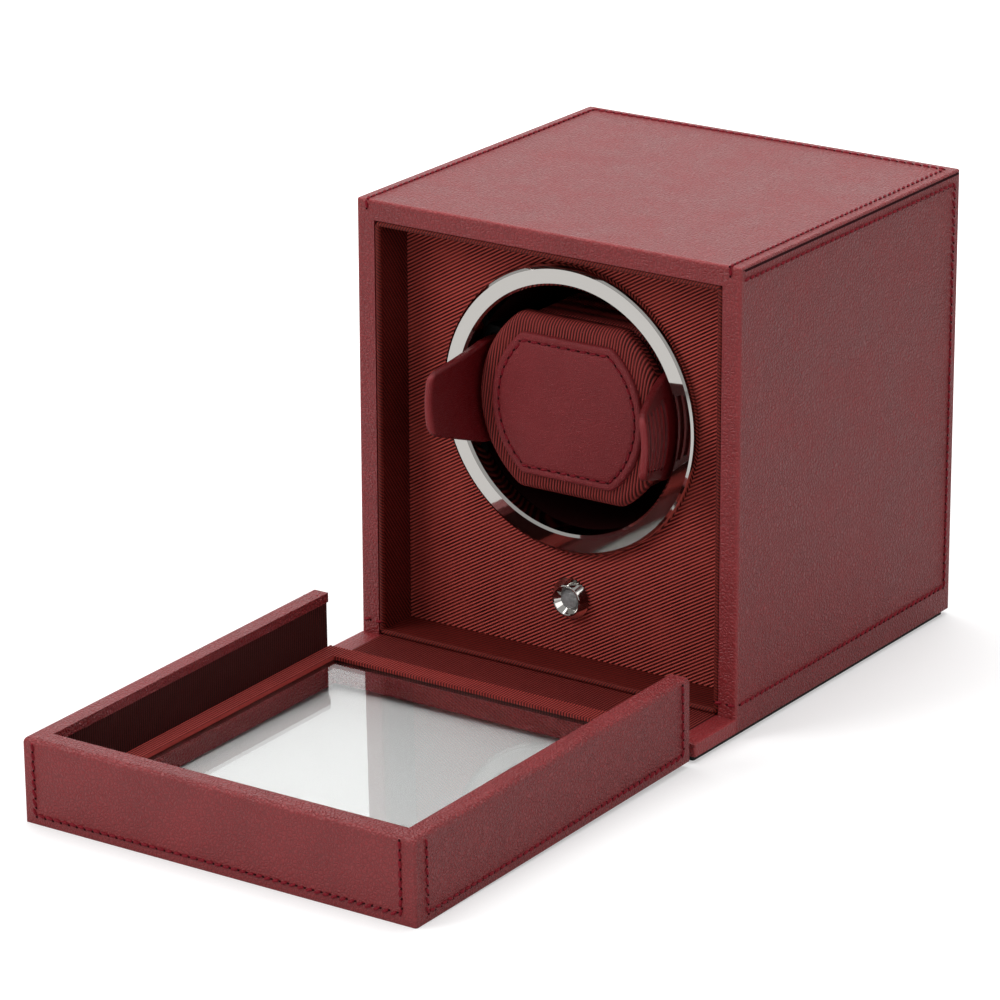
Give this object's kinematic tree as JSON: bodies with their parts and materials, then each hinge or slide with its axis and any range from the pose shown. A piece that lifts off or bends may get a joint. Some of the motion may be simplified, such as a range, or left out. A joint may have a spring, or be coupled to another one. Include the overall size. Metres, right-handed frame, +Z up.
{
  "type": "watch winder",
  "caption": "Leather cube winder for a watch: fold-down glazed door on a base flap, twill recess, polished ring, turning drum with a pull-out cuff, and a push button.",
  "frame": {"origin": "middle of the case's underside, on the surface it stands on", "axes": "+Z up, +Y to the back of the case, +X to the right seen from the front; the open door lies towards -Y"},
  "size_m": [0.14, 0.302, 0.15],
  "materials": {
    "leather": "fine pebble grain, soft sheen",
    "ear_leather": "smooth, soft sheen",
    "twill": "ribbed silk twill",
    "hinge_cloth": "ribbed silk twill",
    "drum_velvet": "matte velvet",
    "board": "raw board",
    "foot_pad": "matte",
    "polished_chrome": "mirror polish",
    "clear_glass": "clear, polished",
    "button_lens": "translucent grey",
    "black_plastic": "moulded, matte",
    "steel": "satin",
    "spring_steel": "drawn wire",
    "magnet_nickel": "nickel plate",
    "bearing_bronze": "sintered",
    "belt_rubber": "matte",
    "circuit_board": "solder mask",
    "components": "moulded"
  },
  "bodies": {
    "case": {"base_pad": "foot_pad", "base_board": "board", "base_leather": "leather", "flap_twill": "twill", "hinge_twill": "hinge_cloth", "case_carcass": "board", "top_leather": "leather", "side_leather_left": "leather", "side_leather_right": "leather", "back_leather": "leather", "liner_box": "twill", "faceplate": "board", "faceplate_twill": "twill", "bezel_ring": "polished_chrome", "standoff_posts": "black_plastic", "bearing_plate": "black_plastic", "bush_front": "bearing_bronze", "bush_rear": "bearing_bronze", "gear_motor": "steel", "drive_screws": "steel", "drive_belt": "belt_rubber", "control_board": "circuit_board", "board_components": "components", "power_inlet": "black_plastic", "rear_cover": "black_plastic", "cover_screws": "steel", "case_magnets": "magnet_nickel", "button_bezel": "polished_chrome", "bezel_nut": "steel", "switch_board": "circuit_board", "button_spring": "spring_steel", "hinge_leaf_fixed": "steel", "hinge_pin": "steel"},
    "power_button": {"power_button": "button_lens"},
    "drum": {"drum": "black_plastic", "drum_lining": "drum_velvet", "drum_shaft": "steel", "drum_pulley": "black_plastic", "shaft_clip": "steel"},
    "motor_output": {"motor_pulley": "black_plastic", "motor_shaft": "steel"},
    "cuff": {"cuff_core": "black_plastic", "cuff_block": "twill", "cuff_badge": "leather", "cuff_rear_block": "twill", "ear_spring_left": "spring_steel", "ear_spring_right": "spring_steel"},
    "ear_left": {"ear_left": "ear_leather"},
    "ear_right": {"ear_right": "ear_leather"},
    "door": {"door_core": "board", "door_leather": "leather", "door_glass": "clear_glass", "door_frame_twill": "twill", "door_lining_left": "twill", "door_lining_right": "twill", "door_lining_far": "twill", "door_magnets": "magnet_nickel", "hinge_leaf_door": "steel"}
  },
  "joints": [
    {"name": "door_hinge", "type": "hinge", "parent": "case", "child": "door", "pos_m": [0, -0.0906, 0.0049], "axis": [-1, 0, 0], "range_deg": [0, 90.77], "deforming": ["hinge_twill"]},
    {"name": "drum_spin", "type": "hinge", "parent": "case", "child": "drum", "pos_m": [0, -0.026, 0.0893], "axis": [0, 1, 0], "continuous": true},
    {"name": "motor_pulley_spin", "type": "hinge", "parent": "case", "child": "motor_output", "pos_m": [0, 0, 0.0273], "axis": [0, 1, 0], "continuous": true},
    {"name": "cuff_pull", "type": "slide", "parent": "drum", "child": "cuff", "axis": [0, 1, 0], "range_m": [-0.05, 0]},
    {"name": "ear_left_squeeze", "type": "slide", "parent": "cuff", "child": "ear_left", "axis": [1, 0, 0], "range_m": [0, 0.0011], "stiffness_N_per_m": 450, "springref_m": -0.0006, "deforming": ["ear_spring_left"]},
    {"name": "ear_right_squeeze", "type": "slide", "parent": "cuff", "child": "ear_right", "axis": [-1, 0, 0], "range_m": [0, 0.0011], "stiffness_N_per_m": 450, "springref_m": -0.0006, "deforming": ["ear_spring_right"]},
    {"name": "power_button_press", "type": "slide", "parent": "case", "child": "power_button", "axis": [0, 1, 0], "range_m": [0, 0.0012], "stiffness_N_per_m": 120, "springref_m": -0.001, "deforming": ["button_spring"]}
  ],
  "couplings": [
    {"joint": "motor_pulley_spin", "follows": "drum_spin", "ratio": 4}
  ]
}
